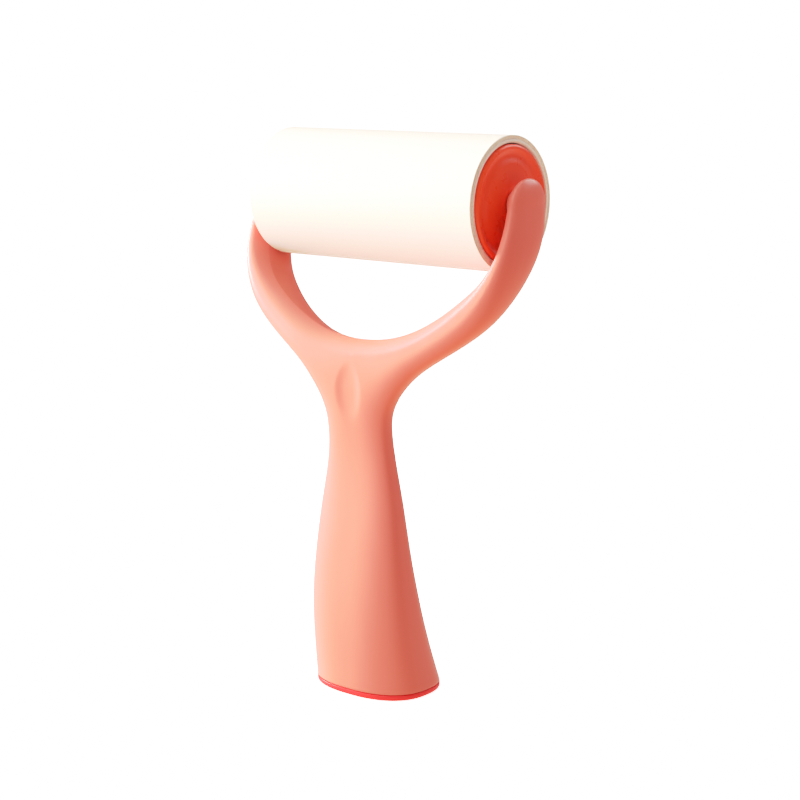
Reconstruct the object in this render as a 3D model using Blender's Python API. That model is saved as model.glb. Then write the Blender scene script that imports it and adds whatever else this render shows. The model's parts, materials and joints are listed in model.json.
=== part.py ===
"""Lint roller: a fork-shaped handle that carries a refill roll between its two arms.

Metres, +Z up. The origin is the centre of the foot's flat underside, the roll turns about a line
along X, and -Y is the front, the side with the thumb rest. The handle and its base cap stand
still; the two end plugs, the core tube and the paper wound on it turn together.
"""
import math

import bmesh
import bpy
import numpy as np
from mathutils import Matrix

MM = 0.001
GAP = 0.3 * MM                      # between pieces that touch

# Roll
ROLL_LENGTH = 100.0 * MM
ROLL_RADIUS = 23.4 * MM
SHEET_THICK = 0.3 * MM
WINDING_INNER = 22.1 * MM
WINDING_OUTER = 22.9 * MM
CORE_INNER = 20.8 * MM
CORE_OUTER = 21.8 * MM
TEAR_EDGE_ANGLE = 200.0             # degrees round the roll from straight up, towards the back
TEAR_EDGE_GAP = 2.5                 # degrees between the leading edge and the next sheet
SEGMENTS = 60

# Pivot: a collar on each arm tip, and a journal that turns in the plug's hub
AXIS_Y = 10.9 * MM
AXIS_Z = 178.3 * MM
COLLAR_RADIUS = 5.0 * MM
JOURNAL_RADIUS = 3.3 * MM
JOURNAL_END = 41.0 * MM
BORE_RADIUS = 3.65 * MM
HUB_RADIUS = 6.2 * MM
HUB_FACE = 51.2 * MM
HUB_BACK = 40.0 * MM

# Plug
RIM_RADIUS = 20.5 * MM
RIM_FACE = 50.6 * MM
SKIRT_RADIUS = 20.3 * MM
SKIRT_WALL = 1.6 * MM
SKIRT_BACK = 36.0 * MM
SLOT_WIDTH = 2.0 * MM
SLOT_FRONT = 44.0 * MM

# Base cap
CAP_BAND = 2.1 * MM
CAP_COLLAR_TOP = 9.5 * MM
CAP_COLLAR_WALL = 1.6 * MM
GRIP_WALL = 2.3 * MM
GRIP_BOTTOM = CAP_BAND + GAP
HOLLOW_TOP = 92.0 * MM

# Handle, by height above the table, in millimetres: half width of the outline, depth position of
# its middle surface, and half depth of the section
OUTLINE = [(2.4, 23.5), (18, 22.3), (36, 21.0), (54, 19.0), (72, 16.5), (86, 14.1), (96, 13.3), (104, 14.3),
           (112, 18.8), (120, 26.8), (128, 38.8), (136, 49.4), (146, 56.6), (160, 60.3), (178.3, 59.2)]
SPINE = [(2.4, 0.0), (30, -6.2), (60, -8.5), (90, -9.1), (115, -10.4), (135, -5.1), (155, 2.7),
         (178.3, 10.9), (188, 11.9)]
HALF_DEPTH = [(2.4, 17.9), (30, 13.3), (60, 8.5), (90, 5.5), (115, 6.2), (140, 8.6), (165, 11.0), (178.3, 9.6)]
# Exponent of the rounded section by height: 2 is an ellipse, and more is squarer
ROUNDING = [(0, 2.4), (25, 2.6), (55, 2.85), (90, 3.0), (125, 2.4), (190, 2.4)]
KEEL = 0.4                          # share of the fork's inner shoulder that is the flat slope up to its parting line
KEEL_ROUND = [(0, 2.4), (135, 2.4), (155, 3.4), (190, 3.4)]  # exponent of the rest of that shoulder, by height
CREASE = [(100, 2.0), (133, 3.0), (147, 5.8), (160, 4.6), (178.3, 3.0)]  # how far the inner parting line leans forward
# Inside of the fork, from the middle of the saddle up to the pivot: (x, z) in millimetres
FORK_INSIDE = [(0, 129.7), (15, 131.4), (30, 137.6), (42, 146.1), (47.8, 152), (53.6, 164), (53.6, 178.3)]
SADDLE_ROUND = 4.8                  # how far the saddle's sloped and rounded top reaches down
ARM_ROOT = 110.0                    # height where the outline stops being the neck's
TIP_RADIUS = 9.0
NECK_TOP = 86.0

# Thumb rest, a shallow oval on the neck's front
REST_HEIGHT = 111.5
REST_HALF_WIDTH = 6.2
REST_HALF_HEIGHT = 10.8
REST_DEPTH = 0.6


def curve_through(knots, at):
    """Values at `at` of a natural cubic spline through (position, value) knots."""
    where, value = np.asarray(knots, float).T
    count = len(where)
    step = np.diff(where)
    system = np.eye(count)
    target = np.zeros(count)
    for i in range(1, count - 1):
        system[i, i - 1:i + 2] = step[i - 1], 2 * (step[i - 1] + step[i]), step[i]
        target[i] = 6 * ((value[i + 1] - value[i]) / step[i] - (value[i] - value[i - 1]) / step[i - 1])
    bend = np.linalg.solve(system, target)
    at = np.clip(at, where[0], where[-1])
    i = np.clip(np.searchsorted(where, at, side="right") - 1, 0, count - 2)
    after = where[i + 1] - at
    before = at - where[i]
    h = step[i]
    bent = (bend[i] * after ** 3 + bend[i + 1] * before ** 3) / (6 * h)
    return bent + (value[i] / h - bend[i] * h / 6) * after + (value[i + 1] / h - bend[i + 1] * h / 6) * before


def fork_inside(fraction):
    """Points (x, z) along the inside of the right arm, level where it crosses the middle."""
    points = np.asarray(FORK_INSIDE, float)
    points = np.vstack([points[2:0:-1] * (-1, 1), points])
    along = np.cumsum(np.r_[0, np.hypot(*np.diff(points, axis=0).T)])
    along -= along[2]
    at = np.asarray(fraction) * along[-1]
    return np.stack([curve_through(np.c_[along, points[:, k]], at) for k in (0, 1)], -1)


def outline(height):
    return curve_through(OUTLINE, height)


def distance_to(points, line):
    """Shortest distance from each point of a grid to a polyline."""
    run = line[1:] - line[:-1]
    length = np.maximum((run ** 2).sum(-1), 1e-12)
    t = np.clip(((points[..., None, :] - line[:-1]) * run).sum(-1) / length, 0, 1)
    nearest = line[:-1] + t[..., None] * run
    return np.sqrt(((points[..., None, :] - nearest) ** 2).sum(-1)).min(-1)


def rounded(distance, radius, power):
    """0 on the outline, rising along a round shoulder to 1 at `radius` inside it."""
    q = np.clip(1 - distance / radius, 0, 1)
    return (1 - q ** power) ** (1 / power)


def keeled(distance, radius, power):
    """As rounded, but leaving the outline on a flat slope, so that the two sides meet in a low keel."""
    target = np.clip(distance / radius, 0, 1)
    low = np.zeros_like(target)
    high = np.ones_like(target)
    for _ in range(40):
        rise = 0.5 * (low + high)
        reach = KEEL * rise + (1 - KEEL) * (1 - (1 - rise ** power) ** (1 / power))
        low = np.where(reach < target, rise, low)
        high = np.where(reach < target, high, rise)
    return 0.5 * (low + high)


def soft_min(a, b, blend):
    h = np.clip(0.5 + 0.5 * (b - a) / blend, 0, 1)
    return b * (1 - h) + a * h - blend * h * (1 - h)


def row_ends(grip_rows, neck_rows, arm_rows):
    """Inner and outer end (x, z) of each row of the right half, from the foot up to the pivot.

    Rows lie level across the grip, tilt through the neck towards the saddle, and then run
    across the arm.
    """
    inner = [(0, z) for z in np.linspace(GRIP_BOTTOM / MM, NECK_TOP, grip_rows)[:-1]]
    outer = [(float(outline(z)), z) for _, z in inner]
    saddle = FORK_INSIDE[0][1]
    for f in np.linspace(0, 1, neck_rows):
        inner.append((0, NECK_TOP + (saddle - NECK_TOP) * math.sin(f * math.pi / 2)))
        z = NECK_TOP + (ARM_ROOT - NECK_TOP) * (0.35 * f + 0.65 * f * f)
        outer.append((float(outline(z)), z))
    pivot = AXIS_Z / MM
    for f in np.linspace(0, 1, arm_rows + 1)[1:]:
        inner.append(tuple(fork_inside(f)))
        z = ARM_ROOT + (pivot - ARM_ROOT) * (0.55 * f + 0.45 * f * f)
        outer.append((float(outline(z)), z))
    return np.array(inner), np.array(outer)


def handle_grid(grip_rows=16, neck_rows=9, arm_rows=18, tip_rows=5, columns=10):
    """Grid of the right half: x, z, middle surface y, half depth, and the saddle's row."""
    inner, outer = row_ends(grip_rows, neck_rows, arm_rows)
    saddle_row = grip_rows + neck_rows - 2
    arm_end = len(inner)
    middle = 0.5 * (inner[-1, 0] + outer[-1, 0])
    half = 0.5 * (outer[-1, 0] - inner[-1, 0])
    turn = np.linspace(0, 1, tip_rows + 1)[1:] * math.radians(80)
    tip_z = AXIS_Z / MM + TIP_RADIUS * np.sin(turn)
    taper = half * np.cos(turn)
    inner = np.vstack([inner, np.c_[middle - taper, tip_z]])
    outer = np.vstack([outer, np.c_[middle + taper, tip_z]])

    s = np.linspace(0, 1, columns)
    two_sided = (1 - np.cos(math.pi * s)) / 2
    one_sided = np.sin(math.pi / 2 * s)
    row = np.arange(len(inner))
    weight = np.clip((row - grip_rows + 1) / (neck_rows - 1), 0, 1)[:, None]
    across = one_sided * (1 - weight) + two_sided * weight
    grid = inner[:, None] + (outer - inner)[:, None] * across[..., None]

    heights = np.linspace(-20, AXIS_Z / MM, 140)
    edge = np.c_[outline(heights), heights]
    inside = fork_inside(np.linspace(0, 1, 60))
    inside = np.vstack([inside[3] * (-1, 1), inside])
    from_outer = distance_to(grid, edge)
    from_inner = distance_to(grid, inside)
    width = (outer - inner)[:, :1]
    from_outer[arm_end:] = (width * (1 - across))[arm_end:]
    from_inner[arm_end:] = (width * across)[arm_end:]
    from_outer[:, -1] = 0
    from_inner[saddle_row:, 0] = 0

    z = grid[..., 1]
    half_width = 0.5 * (from_outer + from_inner)
    crotch = curve_through([(0, 30), (84, 16), (100, 13.2), (135, 13.0), (190, 13.0)], z)
    outer_round = soft_min(soft_min(half_width, outline(z), 3.0), crotch, 2.0)
    inner_round = soft_min(0.93 * half_width, SADDLE_ROUND, 2.0)
    depth = curve_through(HALF_DEPTH, z)
    depth[arm_end:] = HALF_DEPTH[-1][1] * np.cos(turn)[:, None]
    lean = curve_through(CREASE, z)
    lean[arm_end:] = CREASE[-1][1] * np.cos(turn)[:, None]
    fullness = keeled(from_inner, inner_round, curve_through(KEEL_ROUND, z))
    middle_y = curve_through(SPINE, z) - lean * (1 - fullness)
    depth = depth * rounded(from_outer, outer_round, curve_through(ROUNDING, z)) * fullness
    return grid[..., 0], z, middle_y, depth, saddle_row


def thumb_rest(x, z):
    """How far the thumb rest sinks in at x, z."""
    out = (x / REST_HALF_WIDTH) ** 2 + ((z - REST_HEIGHT) / REST_HALF_HEIGHT) ** 2
    return REST_DEPTH * np.clip(1 - out, 0, 1) ** 2 * (1 + 2 * np.clip(out, 0, 1))


def material(name, colour, roughness):
    made = bpy.data.materials.new(name)
    made.use_nodes = True
    shader = made.node_tree.nodes["Principled BSDF"]
    shader.inputs["Base Color"].default_value = (*colour, 1)
    shader.inputs["Roughness"].default_value = roughness
    shader.inputs["Metallic"].default_value = 0.0
    made.diffuse_color = (*colour, 1)
    return made


def add_object(name, bm, surface, location=(0, 0, 0)):
    """Make an object of a bmesh, smooth but for its sharp edges."""
    mesh = bpy.data.meshes.new(name)
    bm.to_mesh(mesh)
    bm.free()
    mesh.shade_smooth()
    mesh.set_sharp_from_angle(angle=math.radians(40))
    if surface:
        mesh.materials.append(surface)
    made = bpy.data.objects.new(name, mesh)
    made.location = location
    bpy.context.collection.objects.link(made)
    return made


def as_tool(made):
    """Mark a cutter or an added lump that only feeds a Boolean."""
    made.hide_render = True
    made.display_type = "WIRE"
    return made


def add_boolean(target, tool, operation):
    boolean = target.modifiers.new(tool.name, "BOOLEAN")
    boolean.object = tool
    boolean.operation = operation
    boolean.solver = "EXACT"


def loft(rings):
    """Closed body through rings of points, with a flat face on the first and the last ring."""
    bm = bmesh.new()
    loops = [[bm.verts.new(point) for point in ring] for ring in rings]
    for low, high in zip(loops, loops[1:]):
        for i in range(len(low)):
            j = (i + 1) % len(low)
            bm.faces.new((low[i], low[j], high[j], high[i]))
    bm.faces.new(loops[0][::-1])
    bm.faces.new(loops[-1])
    bmesh.ops.recalc_face_normals(bm, faces=bm.faces)
    return bm


def grip_ring(height, inset, steps=48):
    """Level ring round the grip at a height in metres, `inset` inside its surface."""
    z = height / MM
    half_width = float(outline(z)) * MM - inset
    half_depth = float(curve_through(HALF_DEPTH, z)) * MM - inset
    middle = float(curve_through(SPINE, z)) * MM
    power = 2 / float(curve_through(ROUNDING, z))
    ring = []
    for angle in np.arange(steps) * 2 * math.pi / steps:
        c, s = math.cos(angle), math.sin(angle)
        x = half_width * math.copysign(abs(c) ** power, c)
        y = half_depth * math.copysign(abs(s) ** power, s)
        ring.append((x, middle + y, height))
    return ring


def turned(profile, angles, closed=True):
    """Body swept round X through `angles` by a closed profile of (x, radius) points."""
    bm = bmesh.new()
    loops = []
    for angle in angles:
        c, s = math.cos(angle), math.sin(angle)
        loops.append([bm.verts.new((x, r * s, r * c)) for x, r in profile])
    pairs = list(zip(loops, loops[1:] + loops[:1])) if closed else list(zip(loops, loops[1:]))
    for a, b in pairs:
        for i in range(len(profile)):
            j = (i + 1) % len(profile)
            bm.faces.new((a[i], a[j], b[j], b[i]))
    if not closed:
        bm.faces.new(loops[0][::-1])
        bm.faces.new(loops[-1])
    bmesh.ops.recalc_face_normals(bm, faces=bm.faces)
    return bm


def full_turn(steps=SEGMENTS):
    return np.arange(steps) * 2 * math.pi / steps


def half_handle():
    """Right half of the handle as a solid skin, open only where the left half joins it."""
    x, z, middle, depth, saddle_row = handle_grid()
    rows, columns = x.shape
    front_y = middle - depth + thumb_rest(x, z)
    bm = bmesh.new()
    front = [[bm.verts.new((x[k, j] * MM, front_y[k, j] * MM, z[k, j] * MM)) for j in range(columns)]
             for k in range(rows)]
    back = []
    for k in range(rows):
        line = []
        for j in range(columns):
            on_edge = j == columns - 1 or (j == 0 and k >= saddle_row)
            point = (x[k, j] * MM, (middle + depth)[k, j] * MM, z[k, j] * MM)
            line.append(front[k][j] if on_edge else bm.verts.new(point))
        back.append(line)
    for k in range(rows - 1):
        for j in range(columns - 1):
            bm.faces.new((front[k][j], front[k][j + 1], front[k + 1][j + 1], front[k + 1][j]))
            bm.faces.new((back[k][j], back[k + 1][j], back[k + 1][j + 1], back[k][j + 1]))
    bm.faces.new(back[0] + front[0][-2::-1])
    bm.faces.new(front[-1] + back[-1][-2:0:-1])
    return bm


def make_handle(surface):
    handle = add_object("fork_handle", half_handle(), surface)
    mirror = handle.modifiers.new("other_half", "MIRROR")
    mirror.merge_threshold = 0.00005

    levels = [-0.002, GRIP_BOTTOM, 0.006, 0.014, 0.026, 0.040, 0.056, 0.072, 0.084, 0.089]
    rings = [grip_ring(z, GRIP_WALL, 32) for z in levels]
    rings.append(grip_ring(HOLLOW_TOP - 0.0010, GRIP_WALL + 0.0012, 32))
    rings.append(grip_ring(HOLLOW_TOP, GRIP_WALL + 0.0030, 32))
    hollow = as_tool(add_object("grip_hollow", loft(rings), None))
    add_boolean(handle, hollow, "DIFFERENCE")

    for side, sign in (("right", 1), ("left", -1)):
        profile = [(56.6 * MM, COLLAR_RADIUS), (51.9 * MM, COLLAR_RADIUS), (51.5 * MM, COLLAR_RADIUS - 0.4 * MM),
                   (51.5 * MM, JOURNAL_RADIUS), (JOURNAL_END + 0.6 * MM, JOURNAL_RADIUS),
                   (JOURNAL_END, JOURNAL_RADIUS - 0.6 * MM)]
        rings = [[(sign * px, r * math.sin(a), r * math.cos(a)) for a in full_turn(24)] for px, r in profile]
        boss = as_tool(add_object(side + "_boss", loft(rings), None, (0, AXIS_Y, AXIS_Z)))
        add_boolean(handle, boss, "UNION")
    return handle


def make_base_cap(surface):
    band = [grip_ring(GRIP_BOTTOM, inset) for inset in (1.5 * MM, 0.75 * MM, 0.25 * MM, 0, 0)]
    heights = (0, 0.15 * MM, 0.55 * MM, 1.2 * MM, CAP_BAND)
    rings = [[(x, y, z) for x, y, _ in ring] for ring, z in zip(band, heights)]
    outside = GRIP_WALL + GAP
    inside = outside + CAP_COLLAR_WALL
    rings.append([(x, y, CAP_BAND) for x, y, _ in grip_ring(GRIP_BOTTOM, outside)])
    rings.append(grip_ring(CAP_COLLAR_TOP - 1.0 * MM, outside))
    rings.append(grip_ring(CAP_COLLAR_TOP, outside + 0.5 * MM))
    rings.append(grip_ring(CAP_COLLAR_TOP, inside))
    rings.append([(x, y, CAP_BAND) for x, y, _ in grip_ring(GRIP_BOTTOM, inside)])
    return add_object("base_cap", loft(rings), surface)


def plug_profile():
    """Closed section of the right end plug: dished face, skirt and hub, as (x, radius)."""
    face = [(HUB_FACE, BORE_RADIUS), (HUB_FACE, HUB_RADIUS - 0.4 * MM)]
    slope = [(50.5, 10.0), (49.75, 14.2), (49.6, 16.0), (50.2, 18.0)]
    face += [(x * MM, r * MM) for x, r in slope]
    for angle in np.radians((90, 45, 0)):
        face.append((RIM_FACE - 1.2 * MM * (1 - math.sin(angle)), RIM_RADIUS - 1.2 * MM * (1 - math.cos(angle))))
    inner = SKIRT_RADIUS - SKIRT_WALL
    skirt = [(48.0 * MM, RIM_RADIUS), (47.6 * MM, SKIRT_RADIUS), (SKIRT_BACK + 1.0 * MM, SKIRT_RADIUS),
             (SKIRT_BACK, SKIRT_RADIUS - 0.7 * MM), (SKIRT_BACK, inner), (48.0 * MM, inner)]
    underside = [(48.0 * MM, 15.5 * MM), (49.2 * MM, HUB_RADIUS)]
    hub = [(HUB_BACK, HUB_RADIUS - 0.3 * MM), (HUB_BACK, BORE_RADIUS)]
    return face + skirt + underside + hub


def make_plug(side, sign, surface):
    """End plug with four slots in its skirt, which let it spring inside the core tube."""
    profile = [(sign * x, r) for x, r in plug_profile()]
    plug = add_object(side + "_end_plug", turned(profile, full_turn(48)), surface, (0, AXIS_Y, AXIS_Z))
    cutter = bmesh.new()
    middle = 0.5 * (SLOT_FRONT + SKIRT_BACK - 0.002)
    for angle in (45, 135, 225, 315):
        made = bmesh.ops.create_cube(cutter, size=1)["verts"]
        bmesh.ops.scale(cutter, verts=made, vec=(SLOT_FRONT - SKIRT_BACK + 0.002, SLOT_WIDTH, 4.0 * MM))
        bmesh.ops.translate(cutter, verts=made, vec=(sign * middle, 0, SKIRT_RADIUS - 0.5 * MM))
        spin = Matrix.Rotation(math.radians(angle), 3, "X")
        bmesh.ops.rotate(cutter, verts=made, cent=(0, 0, 0), matrix=spin)
    slots = as_tool(add_object(side + "_skirt_slots", cutter, None, (0, AXIS_Y, AXIS_Z)))
    add_boolean(plug, slots, "DIFFERENCE")
    return plug


def tube(name, inner, outer, length, surface):
    end = 0.5 * length
    profile = [(-end, outer), (end, outer), (end, inner), (-end, inner)]
    return add_object(name, turned(profile, full_turn()), surface, (0, AXIS_Y, AXIS_Z))


def make_outer_sheet(surface):
    """Outermost sheet of the roll, a band that stops just short of meeting itself."""
    end = 0.5 * ROLL_LENGTH
    inner = ROLL_RADIUS - SHEET_THICK
    profile = [(-end, ROLL_RADIUS), (end, ROLL_RADIUS), (end, inner), (-end, inner)]
    start = math.radians(TEAR_EDGE_ANGLE + TEAR_EDGE_GAP)
    angles = start + np.linspace(0, math.radians(360 - TEAR_EDGE_GAP), SEGMENTS)
    return add_object("outer_sheet", turned(profile, angles, closed=False), surface, (0, AXIS_Y, AXIS_Z))


def main():
    for old in list(bpy.data.objects):
        bpy.data.objects.remove(old, do_unlink=True)
    salmon = material("salmon_plastic", (0.85, 0.36, 0.26), 0.42)
    coral = material("coral_plastic", (0.72, 0.06, 0.05), 0.35)
    red = material("red_plastic", (0.75, 0.07, 0.03), 0.28)
    board = material("core_board", (0.68, 0.67, 0.64), 0.9)
    paper = material("wound_paper", (0.75, 0.68, 0.58), 0.85)
    sheet = material("sticky_sheet", (0.90, 0.88, 0.83), 0.55)
    make_handle(salmon)
    make_base_cap(coral)
    make_plug("right", 1, red)
    make_plug("left", -1, red)
    tube("core_tube", CORE_INNER, CORE_OUTER, ROLL_LENGTH, board)
    tube("tape_winding", WINDING_INNER, WINDING_OUTER, ROLL_LENGTH, paper)
    make_outer_sheet(sheet)


main()
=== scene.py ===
import json
import math

import bmesh
import bpy
import numpy as np
from mathutils import Matrix, Vector


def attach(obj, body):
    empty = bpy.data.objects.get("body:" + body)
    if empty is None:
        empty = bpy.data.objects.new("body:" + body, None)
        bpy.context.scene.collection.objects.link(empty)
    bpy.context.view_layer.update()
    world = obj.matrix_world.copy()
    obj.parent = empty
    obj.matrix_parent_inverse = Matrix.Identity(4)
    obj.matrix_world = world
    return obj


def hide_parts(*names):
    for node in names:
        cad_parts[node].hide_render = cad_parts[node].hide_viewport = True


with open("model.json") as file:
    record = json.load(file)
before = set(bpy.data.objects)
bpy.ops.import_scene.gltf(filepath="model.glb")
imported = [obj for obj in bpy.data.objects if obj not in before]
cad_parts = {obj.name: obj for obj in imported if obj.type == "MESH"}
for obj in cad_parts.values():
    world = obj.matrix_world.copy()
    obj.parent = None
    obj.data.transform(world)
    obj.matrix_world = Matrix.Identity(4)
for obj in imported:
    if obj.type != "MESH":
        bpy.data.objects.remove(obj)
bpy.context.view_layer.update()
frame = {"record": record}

MM = 0.001  # in metres

# The same section data as the CAD solids, in millimetres: pairs of (height, value)
OUTLINE = [  # half width
    (2.4, 23.5), (18, 22.3), (36, 21.0), (54, 19.0), (72, 16.5), (86, 14.1), (96, 13.3), (104, 14.3),
    (112, 18.8), (120, 26.8), (128, 38.8), (136, 49.4), (146, 56.6), (160, 60.3), (178.3, 59.2)]
SPINE = [  # how far back the middle of the section lies
    (2.4, 0.0), (30, -6.2), (60, -8.5), (90, -9.1), (115, -10.4), (135, -5.1), (155, 2.7),
    (178.3, 10.9), (188, 11.9)]
HALF_DEPTH = [
    (2.4, 17.9), (30, 13.3), (60, 8.5), (90, 5.5), (115, 6.2), (140, 8.6), (165, 11.0), (178.3, 9.6)]
ROUNDING = [  # power of the section's curve: 2 is an ellipse, more is squarer
    (0, 2.4), (25, 2.6), (55, 2.85), (90, 3.0), (125, 2.4), (190, 2.4)]
KEEL_ROUND = [  # the same power along the inner edge of the fork
    (0, 2.4), (135, 2.4), (155, 3.4), (190, 3.4)]
KEEL = 0.4  # how flat the two sides are where they meet on the inner edge: 0 is a full round
CREASE = [  # how far forward the inner edge leans
    (100, 2.0), (133, 3.0), (147, 5.8), (160, 4.6), (178.3, 3.0)]
SHOULDER = [  # the widest that the outer shoulder gets
    (0, 30), (84, 16), (100, 13.2), (135, 13.0), (190, 13.0)]
SADDLE_ROUND = 4.8
INNER_SHARE = 0.93  # of the half width, where that leaves less than SADDLE_ROUND
# Points (x, height) along the inside of the right arm, from the bottom of the saddle
FORK_INSIDE = [(0, 129.7), (15, 131.4), (30, 137.6), (42, 146.1), (47.8, 152), (53.6, 164), (53.6, 178.3)]
NECK_TOP = 86.0
ARM_ROOT = 110.0
TIP_RADIUS = 9.0
TIP_TURN = 84.0  # degrees of the tip's arc, before the small flat cap

# Thumb rest, a shallow oval dish on the front of the neck
REST_HEIGHT = 111.5
REST_HALF_WIDTH = 6.2
REST_HALF_HEIGHT = 10.8
REST_DEPTH = 0.6

# Grip and foot cap
GRIP_BOTTOM = 2.4
GRIP_WALL = 2.3
HOLLOW_TOP = 92.0
FOOT_EDGE = [(0.0, 0.3), (0.1, 0.1), (0.35, 0.0)]  # height above the grip's foot, and inset there
FIRST_FULL_ROW = 1.2  # height above the grip's foot
CAP_BAND = 2.1
CAP_FLOOR_TOP = 1.8
CAP_EDGE = 1.0  # height of the rounded lower edge
CAP_COLLAR_TOP = 9.5
CAP_COLLAR_WALL = 1.6
GAP = 0.3

# Bearing: journals on the arms, end plugs in the roll
JOURNAL_RADIUS = 3.3
COLLAR_RADIUS = 5.0
BORE_RADIUS = 3.65
PLUG_RADIUS = 20.3
PLUG_SHOULDER = 50.6
PLUG_EDGE = 1.2
PLUG_WALL = 1.6
SKIRT_RADIUS = 20.2
SKIRT_END = 36.0

# Roll
ROLL_HALF = 50.0
CORE_INSIDE = 20.8
CORE_OUTSIDE = 22.05
WINDING_INSIDE = 22.08
WINDING_OUTSIDE = 23.08
SHEET_INSIDE = 23.1
SHEET_OUTSIDE = 23.4
SHEET_START = 200.0  # degrees from the top, by way of the back
SHEET_GAP = 2.5  # degrees

JOINT = next(j for j in frame["record"]["behaviour"]["joints"] if j["name"] == "roller_spin")
AXIS = Vector(JOINT["pos_m"])
AXIS_Z = AXIS.z / MM


# ---------------------------------------------------------------- curves and sections

def curve_through(knots, at):
    """Values at `at` of a natural cubic spline through (position, value) knots."""
    where, value = np.asarray(knots, float).T
    count = len(where)
    step = np.diff(where)
    system = np.eye(count)
    target = np.zeros(count)
    for i in range(1, count - 1):
        system[i, i - 1:i + 2] = step[i - 1], 2 * (step[i - 1] + step[i]), step[i]
        target[i] = 6 * ((value[i + 1] - value[i]) / step[i] - (value[i] - value[i - 1]) / step[i - 1])
    bend = np.linalg.solve(system, target)
    at = np.clip(at, where[0], where[-1])
    i = np.clip(np.searchsorted(where, at, side="right") - 1, 0, count - 2)
    after = where[i + 1] - at
    before = at - where[i]
    h = step[i]
    bent = (bend[i] * after ** 3 + bend[i + 1] * before ** 3) / (6 * h)
    return (bent + (value[i] / h - bend[i] * h / 6) * after
            + (value[i + 1] / h - bend[i + 1] * h / 6) * before)


def fork_inside(fraction):
    """Points (x, z) along the inside of the right arm, level where it crosses the middle."""
    points = np.asarray(FORK_INSIDE, float)
    points = np.vstack([points[2:0:-1] * (-1, 1), points])
    along = np.cumsum(np.r_[0, np.hypot(*np.diff(points, axis=0).T)])
    along -= along[2]
    at = np.asarray(fraction) * along[-1]
    return np.stack([curve_through(np.c_[along, points[:, k]], at) for k in (0, 1)], -1)


def outline(height):
    """Half width of the handle at a height."""
    return curve_through(OUTLINE, height)


def distance_to(points, line):
    """Distance from each point to the nearest place on a line of straight pieces."""
    run = line[1:] - line[:-1]
    length = np.maximum((run ** 2).sum(-1), 1e-12)
    t = np.clip(((points[..., None, :] - line[:-1]) * run).sum(-1) / length, 0, 1)
    nearest = line[:-1] + t[..., None] * run
    return np.sqrt(((points[..., None, :] - nearest) ** 2).sum(-1)).min(-1)


def rounded(distance, radius, power):
    """0 on the outline, rising along a round shoulder to 1 at `radius` inside it."""
    q = np.clip(1 - distance / radius, 0, 1)
    return (1 - q ** power) ** (1 / power)


def keeled(distance, radius, power):
    """As rounded, but leaving the outline on a flat slope, so that the two sides meet in a low keel."""
    target = np.clip(distance / radius, 0, 1)
    low = np.zeros_like(target)
    high = np.ones_like(target)
    for _ in range(40):
        rise = 0.5 * (low + high)
        reach = KEEL * rise + (1 - KEEL) * (1 - (1 - rise ** power) ** (1 / power))
        low = np.where(reach < target, rise, low)
        high = np.where(reach < target, high, rise)
    return 0.5 * (low + high)


def soft_min(a, b, blend):
    """The smaller of the two, with a smooth change-over where they come within `blend`."""
    h = np.clip(0.5 + 0.5 * (b - a) / blend, 0, 1)
    return b * (1 - h) + a * h - blend * h * (1 - h)


def thumb_rest(x, z):
    """How far the thumb rest dips at a place on the front: 0 and level with it at the rim."""
    out = (x / REST_HALF_WIDTH) ** 2 + ((z - REST_HEIGHT) / REST_HALF_HEIGHT) ** 2
    return REST_DEPTH * np.clip(1 - out, 0, 1) ** 2 * (1 + 2 * np.clip(out, 0, 1))


def section(height, inset, columns):
    """Half section of the grip at a height: points (x, y offset) from the middle line outwards."""
    s = np.sin(math.pi / 2 * np.linspace(0, 1, columns))
    half_width = outline(height) - inset
    half_depth = curve_through(HALF_DEPTH, height) - inset
    power = float(curve_through(ROUNDING, height))
    return s * half_width, half_depth * rounded((1 - s) * half_width, half_width, power)


# ---------------------------------------------------------------- building blocks

def new_object(name, bm, smooth_angle=None):
    """A linked object from a bmesh, smooth except at edges sharper than the angle in degrees."""
    mesh = bpy.data.meshes.new(name)
    bmesh.ops.recalc_face_normals(bm, faces=bm.faces)
    bm.to_mesh(mesh)
    bm.free()
    mesh.shade_smooth()
    if smooth_angle:
        mesh.set_sharp_from_angle(angle=math.radians(smooth_angle))
    made = bpy.data.objects.new(name, mesh)
    bpy.context.scene.collection.objects.link(made)
    return made


def combine(target, tools, operation, smooth_angle):
    """Add or cut the tools and keep the result as the object's own mesh."""
    for tool in tools:
        boolean = target.modifiers.new(tool.name, "BOOLEAN")
        boolean.object = tool
        boolean.operation = operation
        boolean.solver = "EXACT"
    graph = bpy.context.evaluated_depsgraph_get()
    graph.update()
    mesh = bpy.data.meshes.new_from_object(target.evaluated_get(graph))
    target.modifiers.clear()
    target.data = mesh
    mesh.shade_smooth()
    mesh.set_sharp_from_angle(angle=math.radians(smooth_angle))
    for tool in tools:
        bpy.data.objects.remove(tool, do_unlink=True)


def bridge(bm, loop_a, loop_b):
    """Faces between two closed loops of as many vertices each."""
    n = len(loop_a)
    for i in range(n):
        j = (i + 1) % n
        bm.faces.new((loop_a[i], loop_a[j], loop_b[j], loop_b[i]))


def turned(profile, steps, start=0.0, sweep=2 * math.pi):
    """Swept round the roll's axis by a closed profile of (x, radius) in millimetres."""
    bm = bmesh.new()
    full = sweep > 2 * math.pi - 1e-6
    angles = start + np.arange(steps if full else steps + 1) * sweep / steps
    loops = []
    for angle in angles:
        c, s = math.cos(angle), math.sin(angle)
        loops.append([bm.verts.new((x * MM, AXIS.y + r * s * MM, AXIS.z + r * c * MM))
                      for x, r in profile])
    for a, b in zip(loops, loops[1:] + (loops[:1] if full else [])):
        bridge(bm, a, b)
    if not full:
        bm.faces.new(loops[0][::-1])
        bm.faces.new(loops[-1])
    return bm


# ---------------------------------------------------------------- handle

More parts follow.
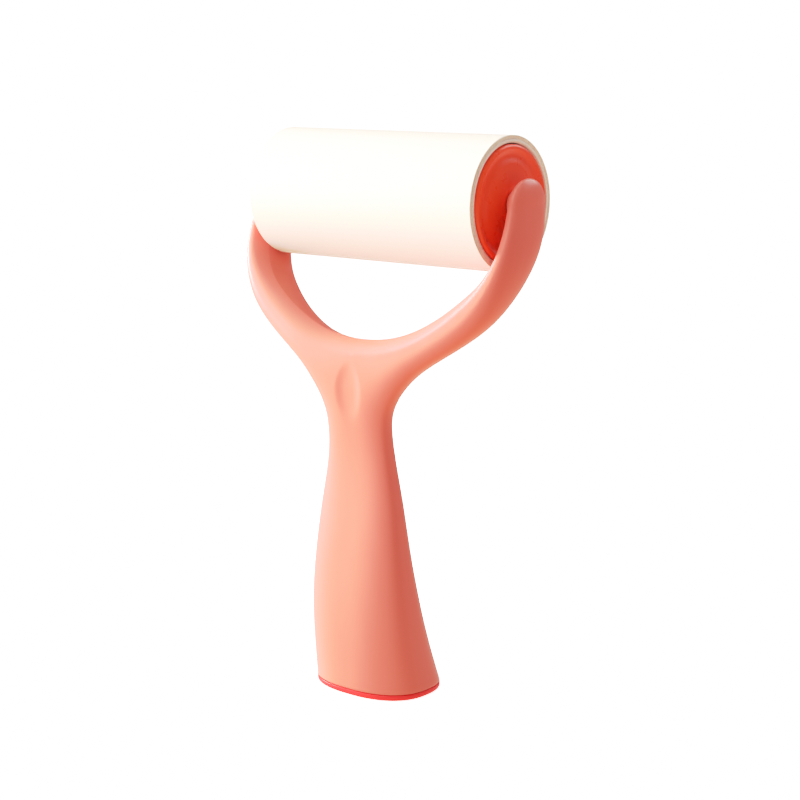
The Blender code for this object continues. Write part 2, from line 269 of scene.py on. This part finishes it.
def handle_grid(grip_rows, neck_rows, arm_rows, tip_rows, columns):
    """Rows of points up the right half, from the middle or the fork's inside to the outline.

    Gives x, height, the middle's y, the half depth, and the row where the fork's inside begins.
    """
    levels = np.r_[[GRIP_BOTTOM + up for up, _ in FOOT_EDGE],
                   np.linspace(GRIP_BOTTOM + FIRST_FULL_ROW, NECK_TOP, grip_rows - len(FOOT_EDGE))]
    inner = [(0.0, z) for z in levels[:-1]]
    outer = [(float(outline(z)), z) for z in levels[:-1]]
    saddle = FORK_INSIDE[0][1]
    # inner rows ease into the saddle, while outer rows start close together and spread out
    for f in np.linspace(0, 1, neck_rows):
        inner.append((0.0, NECK_TOP + (saddle - NECK_TOP) * math.sin(f * math.pi / 2)))
        z = NECK_TOP + (ARM_ROOT - NECK_TOP) * (0.35 * f + 0.65 * f * f)
        outer.append((float(outline(z)), z))
    for f in np.linspace(0, 1, arm_rows + 1)[1:]:
        inner.append(tuple(fork_inside(f)))
        z = ARM_ROOT + (AXIS_Z - ARM_ROOT) * (0.55 * f + 0.45 * f * f)
        outer.append((float(outline(z)), z))
    inner, outer = np.array(inner), np.array(outer)
    saddle_row = grip_rows + neck_rows - 2
    arm_end = len(inner)
    middle = 0.5 * (inner[-1, 0] + outer[-1, 0])
    half = 0.5 * (outer[-1, 0] - inner[-1, 0])
    turn = np.linspace(0, 1, tip_rows + 1)[1:] * math.radians(TIP_TURN)
    tip_z = AXIS_Z + TIP_RADIUS * np.sin(turn)
    taper = half * np.cos(turn)
    inner = np.vstack([inner, np.c_[middle - taper, tip_z]])
    outer = np.vstack([outer, np.c_[middle + taper, tip_z]])

    # columns crowd towards the edges, where the surface turns fastest
    s = np.linspace(0, 1, columns)
    two_sided = (1 - np.cos(math.pi * s)) / 2
    one_sided = np.sin(math.pi / 2 * s)
    row = np.arange(len(inner))
    weight = np.clip((row - grip_rows + 1) / (neck_rows - 1), 0, 1)[:, None]
    across = one_sided * (1 - weight) + two_sided * weight
    grid = inner[:, None] + (outer - inner)[:, None] * across[..., None]

    heights = np.linspace(-20, AXIS_Z, 400)
    edge = np.c_[outline(heights), heights]
    inside = fork_inside(np.linspace(0, 1, 160))
    inside = np.vstack([inside[8:0:-1] * (-1, 1), inside])
    from_outer = distance_to(grid, edge)
    from_inner = distance_to(grid, inside)
    width = (outer - inner)[:, :1]
    from_outer[arm_end:] = (width * (1 - across))[arm_end:]
    from_inner[arm_end:] = (width * across)[arm_end:]
    from_outer[:, -1] = 0
    from_inner[saddle_row:, 0] = 0

    z = grid[..., 1]
    half_width = 0.5 * (from_outer + from_inner)
    outer_round = soft_min(soft_min(half_width, outline(z), 3.0), curve_through(SHOULDER, z), 2.0)
    inner_round = soft_min(INNER_SHARE * half_width, SADDLE_ROUND, 2.0)
    depth = curve_through(HALF_DEPTH, z)
    depth[arm_end:] = HALF_DEPTH[-1][1] * np.cos(turn)[:, None]
    lean = curve_through(CREASE, z)
    lean[arm_end:] = CREASE[-1][1] * np.cos(turn)[:, None]
    fullness = keeled(from_inner, inner_round, curve_through(KEEL_ROUND, z))
    middle_y = curve_through(SPINE, z) - lean * (1 - fullness)
    depth = depth * rounded(from_outer, outer_round, curve_through(ROUNDING, z)) * fullness

    for k, (_, inset) in enumerate(FOOT_EDGE):
        grid[k, :, 0] *= 1 - inset / outline(levels[k])
        depth[k] *= 1 - inset / curve_through(HALF_DEPTH, levels[k])
    return grid[..., 0], grid[..., 1], middle_y, depth, saddle_row


def half_handle(columns=28):
    """Right half of the handle: front and back skins that share their edges, and the hollow inside."""
    x, z, middle, depth, saddle_row = handle_grid(
        grip_rows=70, neck_rows=30, arm_rows=76, tip_rows=16, columns=columns)
    rows = x.shape[0]
    front_y = middle - depth + thumb_rest(x, z)
    bm = bmesh.new()
    front = [[bm.verts.new((x[k, j] * MM, front_y[k, j] * MM, z[k, j] * MM)) for j in range(columns)]
             for k in range(rows)]
    back = []
    for k in range(rows):
        line = []
        for j in range(columns):
            on_edge = j == columns - 1 or (j == 0 and k >= saddle_row)
            point = (x[k, j] * MM, (middle + depth)[k, j] * MM, z[k, j] * MM)
            line.append(front[k][j] if on_edge else bm.verts.new(point))
        back.append(line)
    for k in range(rows - 1):
        for j in range(columns - 1):
            bm.faces.new((front[k][j], front[k][j + 1], front[k + 1][j + 1], front[k + 1][j]))
            bm.faces.new((back[k][j], back[k + 1][j], back[k + 1][j + 1], back[k][j + 1]))
    top = front[-1] + back[-1][-2:0:-1]
    bm.faces.new(top)

    # the hollow inside, open at the foot, with a domed top
    foot = [back[0][j] for j in range(columns)] + [front[0][j] for j in range(columns - 2, -1, -1)]
    loops = [foot]
    levels = [(GRIP_BOTTOM, GRIP_WALL - 0.15), (GRIP_BOTTOM + 0.15, GRIP_WALL)]
    levels += [(height, GRIP_WALL) for height in np.linspace(5, HOLLOW_TOP - 3, 24)]
    levels += [(HOLLOW_TOP - 1.4, GRIP_WALL + 0.6), (HOLLOW_TOP - 0.4, GRIP_WALL + 1.6),
               (HOLLOW_TOP, GRIP_WALL + 3.2)]
    for height, inset in levels:
        across, off = section(height, inset, columns)
        spine = float(curve_through(SPINE, height))
        at_back = [bm.verts.new((across[j] * MM, (spine + off[j]) * MM, height * MM))
                   for j in range(columns)]
        at_front = [bm.verts.new((across[j] * MM, (spine - off[j]) * MM, height * MM))
                    for j in range(columns - 2, -1, -1)]
        loops.append(at_back + at_front)
    for low, high in zip(loops, loops[1:]):
        for i in range(len(low) - 1):
            bm.faces.new((low[i], low[i + 1], high[i + 1], high[i]))
    bm.faces.new(loops[-1])
    return bm


def boss(sign, steps=72):
    """Collar and journal on an arm tip, flared where it grows out of the arm."""
    root = [(56.6, 6.4), (54.6, 6.3)]
    flare = [(54.3 - 2.0 * t, COLLAR_RADIUS + 1.2 * (1 - t) ** 2.2) for t in np.linspace(0, 1, 9)]
    collar = [(51.95, COLLAR_RADIUS), (51.7, 4.93), (51.55, 4.75), (51.5, 4.5), (51.5, JOURNAL_RADIUS)]
    end = [(41.6, JOURNAL_RADIUS), (41.3, 3.2), (41.0, 2.7)]
    angles = np.arange(steps) * 2 * math.pi / steps
    bm = bmesh.new()
    loops = []
    for x, r in root + flare + collar + end:
        loops.append([bm.verts.new((sign * x * MM, AXIS.y + r * math.sin(angle) * MM,
                                    AXIS.z + r * math.cos(angle) * MM)) for angle in angles])
    for a, b in zip(loops, loops[1:]):
        bridge(bm, a, b)
    bm.faces.new(loops[0])
    bm.faces.new(loops[-1])
    return new_object("boss", bm)


def make_handle():
    """Both halves joined on the middle plane, with a boss on each arm tip."""
    handle = new_object("handle_moulding", half_handle())
    mirror = handle.modifiers.new("other_half", "MIRROR")
    mirror.merge_threshold = 0.00001
    graph = bpy.context.evaluated_depsgraph_get()
    graph.update()
    handle.data = bpy.data.meshes.new_from_object(handle.evaluated_get(graph))
    handle.modifiers.clear()
    combine(handle, [boss(1), boss(-1)], "UNION", 35)
    return handle


def grip_loop(height, inset, steps):
    """Points (x, y) round the whole grip section at a height."""
    half_width = float(outline(height)) - inset
    half_depth = float(curve_through(HALF_DEPTH, height)) - inset
    middle = float(curve_through(SPINE, height))
    power = 2 / float(curve_through(ROUNDING, height))
    ring = []
    for angle in np.arange(steps) * 2 * math.pi / steps:
        c, s = math.cos(angle), math.sin(angle)
        x = half_width * math.copysign(abs(c) ** power, c)
        y = half_depth * math.copysign(abs(s) ** power, s)
        ring.append((x, middle + y))
    return ring


def make_cap(steps=144):
    """Foot cap: a band with a rounded lower edge, and a collar that plugs into the grip."""
    collar = GRIP_WALL + GAP
    collar_inside = collar + CAP_COLLAR_WALL
    # (height of the section that is followed, inset from it, height)
    levels = [(GRIP_BOTTOM, 8.0, 0.0), (GRIP_BOTTOM, 1.7, 0.0)]
    for turn in np.linspace(0, math.pi / 2, 7):
        levels.append((GRIP_BOTTOM, 1.3 * (1 - math.sin(turn)), CAP_EDGE * (1 - math.cos(turn))))
    levels += [(GRIP_BOTTOM, 0.0, CAP_BAND - 0.2), (GRIP_BOTTOM, 0.06, CAP_BAND - 0.05),
               (GRIP_BOTTOM, 0.2, CAP_BAND), (GRIP_BOTTOM, collar, CAP_BAND)]
    levels += [(z, collar, z) for z in (2.9, 5.0, 8.6)]
    levels += [(CAP_COLLAR_TOP, collar + 0.5, CAP_COLLAR_TOP),
               (CAP_COLLAR_TOP, collar_inside, CAP_COLLAR_TOP), (5.0, collar_inside, 5.0),
               (GRIP_BOTTOM, collar_inside, CAP_FLOOR_TOP), (GRIP_BOTTOM, 10.0, CAP_FLOOR_TOP)]
    bm = bmesh.new()
    loops = [[bm.verts.new((x * MM, y * MM, z * MM)) for x, y in grip_loop(at, inset, steps)]
             for at, inset, z in levels]
    for low, high in zip(loops, loops[1:]):
        bridge(bm, low, high)
    bm.faces.new(loops[0])
    bm.faces.new(loops[-1])
    return new_object("foot_cap", bm, 50)


# ---------------------------------------------------------------- roll

def plug_profile():
    """(x, radius) round the right plug: hub, dished face with a groove, rounded rim, skirt, inside."""
    hub = [(51.2, BORE_RADIUS), (51.2, 5.6), (51.17, 5.9), (51.05, 6.2)]
    dish = [(6.2, 51.05), (8.0, 50.92), (10.0, 50.72), (12.2, 50.45), (14.0, 50.2), (15.2, 49.85),
            (16.2, 49.6), (17.2, 49.66), (18.2, 50.2)]
    face = [(float(curve_through(dish, r)), float(r)) for r in np.linspace(6.4, 18.2, 44)]
    rim = [(PLUG_SHOULDER - PLUG_EDGE * (1 - math.sin(turn)),
            PLUG_RADIUS - PLUG_EDGE * (1 - math.cos(turn)))
           for turn in np.linspace(math.radians(125), 0, 12)]
    inner = PLUG_RADIUS - PLUG_WALL
    skirt = [(48.1, PLUG_RADIUS), (47.7, SKIRT_RADIUS), (37.0, SKIRT_RADIUS), (36.2, 20.0),
             (SKIRT_END, 19.6), (SKIRT_END, inner), (48.0, inner)]
    inside = [(48.0, 15.5), (49.2, 6.6), (48.6, 6.2), (40.0, 5.9), (40.0, BORE_RADIUS)]
    return hub + face + rim + skirt + inside


def make_plug(side, sign, steps=144):
    """End plug, with four slots through the end of its skirt."""
    plug = new_object("plug_" + side, turned([(sign * x, r) for x, r in plug_profile()], steps))
    cutter = bmesh.new()
    for angle in (45, 135, 225, 315):
        made = bmesh.ops.create_cube(cutter, size=1)["verts"]
        turn = Matrix.Rotation(math.radians(angle), 3, "X")
        bmesh.ops.scale(cutter, verts=made, vec=(0.010, 0.002, 0.004))
        bmesh.ops.translate(cutter, verts=made, vec=(sign * 0.039, 0, 0.0198))
        bmesh.ops.rotate(cutter, verts=made, cent=(0, 0, 0), matrix=turn)
    bmesh.ops.translate(cutter, verts=cutter.verts, vec=(0, AXIS.y, AXIS.z))
    combine(plug, [new_object("slots", cutter)], "DIFFERENCE", 32)
    return plug


def make_core(steps=180):
    """Cardboard tube, with its four edges slightly broken."""
    edge = ROLL_HALF - 0.1
    profile = [(-edge, CORE_OUTSIDE), (-ROLL_HALF, 21.95), (-ROLL_HALF, 20.95), (-49.85, CORE_INSIDE),
               (49.85, CORE_INSIDE), (ROLL_HALF, 20.95), (ROLL_HALF, 21.95), (edge, CORE_OUTSIDE)]
    return new_object("core_board", turned(profile, steps), 50)


def make_winding(steps=180):
    """The wound sheets under the outer one: each layer's edge stands a little in or out."""
    setback = (0.00, 0.10, 0.03, 0.13, 0.05, 0.11)
    layer = (WINDING_OUTSIDE - WINDING_INSIDE) / len(setback)
    right = []
    for k, back in enumerate(setback):
        low = WINDING_INSIDE + k * layer
        right += [(ROLL_HALF - back, low + 0.01), (ROLL_HALF - back, low + layer - 0.01)]
    profile = right[::-1] + [(-x, r) for x, r in right]
    return new_object("wound_sheets", turned(profile, steps), 30)


def make_sheet(steps=240):
    """The outer sheet, with a narrow gap where its end meets its start."""
    start = math.radians(SHEET_START + SHEET_GAP)
    sweep = math.radians(360 - SHEET_GAP)
    profile = [(-ROLL_HALF, 23.36), (-49.96, SHEET_OUTSIDE), (49.96, SHEET_OUTSIDE), (ROLL_HALF, 23.36),
               (ROLL_HALF, SHEET_INSIDE), (-ROLL_HALF, SHEET_INSIDE)]
    return new_object("top_sheet", turned(profile, steps, start, sweep), 40)


# ---------------------------------------------------------------- materials

def node(tree, kind, **settings):
    """A new shader node with its settings."""
    made = tree.nodes.new(kind)
    for key, value in settings.items():
        setattr(made, key, value)
    return made


def noise(tree, vector, scale, detail=2.0, roughness=0.5):
    made = node(tree, "ShaderNodeTexNoise")
    made.inputs["Scale"].default_value = scale
    made.inputs["Detail"].default_value = detail
    made.inputs["Roughness"].default_value = roughness
    tree.links.new(vector, made.inputs["Vector"])
    return made.outputs["Fac"]


def remap(tree, value, low, high, out_low, out_high):
    made = node(tree, "ShaderNodeMapRange")
    for key, number in (("From Min", low), ("From Max", high), ("To Min", out_low), ("To Max", out_high)):
        made.inputs[key].default_value = number
    tree.links.new(value, made.inputs["Value"])
    return made.outputs["Result"]


def blend_colour(tree, factor, a, b):
    """Colour from `a` to `b` as the factor goes from 0 to 1."""
    made = node(tree, "ShaderNodeMix", data_type="RGBA")
    tree.links.new(factor, made.inputs[0])
    made.inputs[6].default_value = (*a, 1)
    made.inputs[7].default_value = (*b, 1)
    return made.outputs[2]


def stretched(tree, scale):
    """Object coordinates, scaled along each axis."""
    where = node(tree, "ShaderNodeTexCoord").outputs["Object"]
    made = node(tree, "ShaderNodeMapping")
    made.inputs["Scale"].default_value = scale
    tree.links.new(where, made.inputs["Vector"])
    return made.outputs["Vector"]


def around_axis(tree):
    """Distance from the roll's axis, in metres."""
    where = node(tree, "ShaderNodeTexCoord").outputs["Object"]
    split = node(tree, "ShaderNodeSeparateXYZ")
    tree.links.new(where, split.inputs[0])
    squares = []
    for letter, centre in (("Y", AXIS.y), ("Z", AXIS.z)):
        off = node(tree, "ShaderNodeMath", operation="SUBTRACT")
        tree.links.new(split.outputs[letter], off.inputs[0])
        off.inputs[1].default_value = centre
        square = node(tree, "ShaderNodeMath", operation="MULTIPLY")
        tree.links.new(off.outputs[0], square.inputs[0])
        tree.links.new(off.outputs[0], square.inputs[1])
        squares.append(square.outputs[0])
    total = node(tree, "ShaderNodeMath", operation="ADD")
    tree.links.new(squares[0], total.inputs[0])
    tree.links.new(squares[1], total.inputs[1])
    root = node(tree, "ShaderNodeMath", operation="SQRT")
    tree.links.new(total.outputs[0], root.inputs[0])
    return root.outputs[0]


def bump(tree, height, strength, distance, below=None):
    made = node(tree, "ShaderNodeBump")
    made.inputs["Strength"].default_value = strength
    made.inputs["Distance"].default_value = distance
    tree.links.new(height, made.inputs["Height"])
    if below:
        tree.links.new(below, made.inputs["Normal"])
    return made.outputs["Normal"]


def start_material(name):
    made = bpy.data.materials.new(name)
    made.use_nodes = True
    return made, made.node_tree, made.node_tree.nodes["Principled BSDF"]


def moulded_plastic(name, dark, light, gloss, grain, shine):
    """Moulded plastic: faint flow marks in the colour, satin patches, and the mould's fine grain."""
    made, tree, shader = start_material(name)
    where = stretched(tree, (1, 1, 1))
    flow = noise(tree, stretched(tree, (1, 1, 0.35)), 55.0, 3.0, 0.55)
    colour = blend_colour(tree, remap(tree, flow, 0.3, 0.7, 0, 1), dark, light)
    tree.links.new(colour, shader.inputs["Base Color"])
    patch = noise(tree, where, 240.0, 4.0, 0.6)
    tree.links.new(remap(tree, patch, 0.3, 0.7, *gloss), shader.inputs["Roughness"])
    fine = noise(tree, where, 2600.0, 2.0, 0.6)
    tree.links.new(bump(tree, fine, grain, 0.00008), shader.inputs["Normal"])
    shader.inputs["IOR"].default_value = 1.49
    shader.inputs["Specular IOR Level"].default_value = shine
    return made


def sheet_paper(name, dark, light):
    """Coated paper: long faint fibres round the roll, cloudy formation, and a slight cockle."""
    made, tree, shader = start_material(name)
    cloud = noise(tree, stretched(tree, (1, 1, 1)), 900.0, 4.0, 0.6)
    fibre = noise(tree, stretched(tree, (2.6, 1, 1)), 1500.0, 3.0, 0.55)
    both = node(tree, "ShaderNodeMath", operation="MULTIPLY")
    tree.links.new(cloud, both.inputs[0])
    tree.links.new(fibre, both.inputs[1])
    colour = blend_colour(tree, remap(tree, both.outputs[0], 0.12, 0.40, 0, 1), dark, light)
    tree.links.new(colour, shader.inputs["Base Color"])
    tree.links.new(remap(tree, cloud, 0.3, 0.7, 0.48, 0.62), shader.inputs["Roughness"])
    cockle = noise(tree, stretched(tree, (0.3, 1, 1)), 70.0, 2.0, 0.5)
    normal = bump(tree, cockle, 0.25, 0.0002)
    tree.links.new(bump(tree, fibre, 0.25, 0.00004, normal), shader.inputs["Normal"])
    shader.inputs["Specular IOR Level"].default_value = 0.4
    return made


def layered_edge(name, dark, light):
    """Cut edge of many thin sheets: fine rings of changing tone about the roll's axis."""
    made, tree, shader = start_material(name)
    radius = around_axis(tree)
    rings = node(tree, "ShaderNodeTexNoise", noise_dimensions="1D")
    rings.inputs["Scale"].default_value = 5200.0
    rings.inputs["Detail"].default_value = 2.0
    tree.links.new(radius, rings.inputs["W"])
    speck = noise(tree, stretched(tree, (1, 1, 1)), 1800.0, 3.0, 0.6)
    both = node(tree, "ShaderNodeMath", operation="MULTIPLY")
    tree.links.new(rings.outputs["Fac"], both.inputs[0])
    tree.links.new(speck, both.inputs[1])
    colour = blend_colour(tree, remap(tree, both.outputs[0], 0.12, 0.40, 0, 1), dark, light)
    tree.links.new(colour, shader.inputs["Base Color"])
    tree.links.new(remap(tree, speck, 0.3, 0.7, 0.8, 0.95), shader.inputs["Roughness"])
    tree.links.new(bump(tree, rings.outputs["Fac"], 0.5, 0.00008), shader.inputs["Normal"])
    return made


def cardboard(name, dark, light):
    """Grey board: short fibres and flecks."""
    made, tree, shader = start_material(name)
    fibre = noise(tree, stretched(tree, (0.5, 1, 1)), 1400.0, 5.0, 0.65)
    colour = blend_colour(tree, remap(tree, fibre, 0.32, 0.68, 0, 1), dark, light)
    tree.links.new(colour, shader.inputs["Base Color"])
    tree.links.new(remap(tree, fibre, 0.3, 0.7, 0.82, 0.96), shader.inputs["Roughness"])
    tree.links.new(bump(tree, fibre, 0.5, 0.00006), shader.inputs["Normal"])
    return made


def give(obj, surface, body, slot, *nodes):
    """Material, moving body and replaced CAD nodes of one finished piece; `slot` is not used."""
    obj.data.materials.clear()
    obj.data.materials.append(surface)
    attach(obj, body)
    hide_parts(*nodes)


salmon = moulded_plastic("salmon_plastic", (0.67, 0.164, 0.126), (0.70, 0.176, 0.135),
                         gloss=(0.28, 0.34), grain=0.03, shine=0.24)
coral = moulded_plastic("coral_plastic", (0.90, 0.034, 0.036), (0.95, 0.041, 0.042),
                        gloss=(0.30, 0.36), grain=0.02, shine=0.25)
red = moulded_plastic("red_orange_plastic", (0.93, 0.074, 0.024), (0.97, 0.084, 0.029),
                      gloss=(0.26, 0.32), grain=0.004, shine=0.25)
paper = sheet_paper("sheet_paper", (0.80, 0.775, 0.665), (0.82, 0.798, 0.695))
edges = layered_edge("sheet_edges", (0.66, 0.62, 0.55), (0.83, 0.80, 0.73))
board = cardboard("grey_board", (0.60, 0.585, 0.55), (0.74, 0.725, 0.69))

handle = make_handle()
cap = make_cap()
give(handle, salmon, "handle", "handle_plastic", "fork_handle")
give(cap, coral, "handle", "cap_plastic", "base_cap")
for side, sign in (("right", 1), ("left", -1)):
    plug = make_plug(side, sign)
    give(plug, red, "roller", "plug_plastic", side + "_end_plug")
core = make_core()
winding = make_winding()
sheet = make_sheet()
give(core, board, "roller", "core_board", "core_tube")
give(winding, edges, "roller", "wound_paper", "tape_winding")
give(sheet, paper, "roller", "sticky_sheet", "outer_sheet")


# ---------------------------------------------------------------- floor, light, camera

def make_stage(floor=3.0, sweep=1.0, dome=3.0, steps=96):
    """White table that sweeps up into a dome. It is only a backdrop: the world gives the light."""
    wall = floor + sweep
    profile = [(0.001, 0.0), (1.0, 0.0), (floor, 0.0)]
    profile += [(floor + sweep * math.sin(t), sweep * (1.0 - math.cos(t)))
                for t in np.linspace(0.1, math.pi / 2, 14)]
    profile += [(wall * math.cos(t), 1.5 * sweep + dome * math.sin(t))
                for t in np.linspace(0.0, math.pi / 2 - 0.001, 20)]
    bm = bmesh.new()
    angles = np.arange(steps) * 2 * math.pi / steps
    rings = [[bm.verts.new((r * math.cos(t), r * math.sin(t), z)) for t in angles] for r, z in profile]
    for low, high in zip(rings, rings[1:]):
        bridge(bm, low, high)
    bm.faces.new(rings[0])
    stage = new_object("studio_stage", bm)
    surface, tree, shader = start_material("stage_white")
    tone = noise(tree, stretched(tree, (1, 1, 1)), 12.0, 2.0, 0.5)
    colour = blend_colour(tree, tone, (0.91, 0.91, 0.91), (0.93, 0.93, 0.93))
    tree.links.new(colour, shader.inputs["Base Color"])
    tree.links.new(remap(tree, tone, 0, 1, 0.85, 0.95), shader.inputs["Roughness"])
    shader.inputs["Emission Color"].default_value = (1, 1, 1, 1)
    shader.inputs["Emission Strength"].default_value = 1.6
    stage.data.materials.append(surface)
    stage.visible_diffuse = False
    stage.visible_glossy = False
    stage.visible_shadow = False


def aim(obj, target):
    """Turn a light towards a point."""
    obj.rotation_euler = (Vector(target) - obj.location).to_track_quat("-Z", "Y").to_euler()


def direction(azimuth, elevation):
    """Unit vector towards a bearing in degrees: 0 is the front, 90 the right."""
    a, e = math.radians(azimuth), math.radians(elevation)
    return Vector((math.sin(a) * math.cos(e), -math.cos(a) * math.cos(e), math.sin(e)))


def softbox(name, azimuth, elevation, size, power, colour, mirrored=True):
    """Square area light one metre from the middle of the object; `mirrored` if glossy surfaces show it."""
    lamp = bpy.data.lights.new(name, "AREA")
    lamp.shape = "SQUARE"
    lamp.size = size
    lamp.energy = power
    lamp.color = colour
    made = bpy.data.objects.new(name, lamp)
    made.visible_glossy = mirrored
    centre = Vector((0, 0, 0.1))
    made.location = centre + direction(azimuth, elevation)
    bpy.context.scene.collection.objects.link(made)
    aim(made, centre)


def overhead(strength, angle, toward, colour):
    """A very soft light from above, leaning the way `toward` points."""
    lamp = bpy.data.lights.new("overhead", "SUN")
    lamp.energy = strength * math.pi
    lamp.angle = math.radians(angle)
    lamp.color = colour
    made = bpy.data.objects.new("overhead", lamp)
    made.location = Vector(toward)
    bpy.context.scene.collection.objects.link(made)
    aim(made, (0, 0, 0))


def make_world():
    """Dim room above, and a bounce from below that is warmest and brightest straight down."""
    world = bpy.data.worlds.new("studio")
    world.use_nodes = True
    tree = world.node_tree
    split = node(tree, "ShaderNodeSeparateXYZ")
    tree.links.new(node(tree, "ShaderNodeTexCoord").outputs["Generated"], split.inputs[0])
    ramp = node(tree, "ShaderNodeValToRGB")
    levels = [(-1.0, (3.00, 1.15, 0.60)), (-0.45, (1.60, 1.12, 0.90)),
              (0.0, (0.34, 0.34, 0.34)), (0.2, (0.15, 0.15, 0.15))]
    while len(ramp.color_ramp.elements) < len(levels):
        ramp.color_ramp.elements.new(0.5)
    for element, (height, colour) in zip(ramp.color_ramp.elements, levels):
        element.position = (height + 1) / 2
        element.color = (*colour, 1)
    tree.links.new(remap(tree, split.outputs["Z"], -1, 1, 0, 1), ramp.inputs["Fac"])
    tree.links.new(ramp.outputs["Color"], tree.nodes["Background"].inputs["Color"])
    bpy.context.scene.world = world


def soft_shoulder():
    """Plain sRGB with the bright end rolled off, so that lit plastic keeps its colour beside white paper."""
    view = bpy.context.scene.view_settings
    view.view_transform = "Standard"
    view.use_curve_mapping = True
    mapping = view.curve_mapping
    top = 2.2
    mapping.white_level = (top, top, top)
    mapping.extend = "HORIZONTAL"
    curve = mapping.curves[3]
    knots = [(0, 0), (0.3, 0.3), (0.6, 0.6), (0.8, 0.68), (1.0, 0.745), (1.22, 0.81), (1.46, 0.865),
             (1.9, 0.97), (top, 1.0)]
    while len(curve.points) < len(knots):
        curve.points.new(0.5, 0.5)
    for point, (x, y) in zip(curve.points, knots):
        point.location = (x / top, y)
    mapping.update()


def make_camera():
    """Looks down on the roll from the front right, with the pivot above the middle of the picture."""
    azimuth, elevation = 39.06, 10.87
    away, sideways, lower = 0.65268, 0.00112, 0.0724
    data = bpy.data.cameras.new("camera")
    data.sensor_width = 36.0
    data.lens = 82.395
    camera = bpy.data.objects.new("camera", data)
    back = direction(azimuth, elevation)
    turned_by = math.radians(azimuth)
    right = Vector((math.cos(turned_by), math.sin(turned_by), 0))
    up = back.cross(right)
    place = Vector((0, AXIS.y, AXIS.z)) + right * sideways - up * lower + back * away
    facing = Matrix((right, up, back)).transposed().to_4x4()
    camera.matrix_world = Matrix.Translation(place) @ facing
    bpy.context.scene.collection.objects.link(camera)
    bpy.context.scene.camera = camera


make_stage()
make_world()
make_camera()
softbox("side_key", -72, 14, 0.4, 35.0, (1.0, 0.87, 0.87))
softbox("front_fill", -25, 12, 0.4, 10.0, (1.0, 0.87, 0.87), mirrored=False)
softbox("top_front", 5, 46, 0.2, 3.0, (1.0, 0.92, 0.86))
softbox("top_back", 158, 38, 0.6, 6.0, (0.9, 0.95, 1.0))
overhead(1.15, 70, (-0.45, -0.15, 0.9), (1.0, 0.88, 0.82))
soft_shoulder()
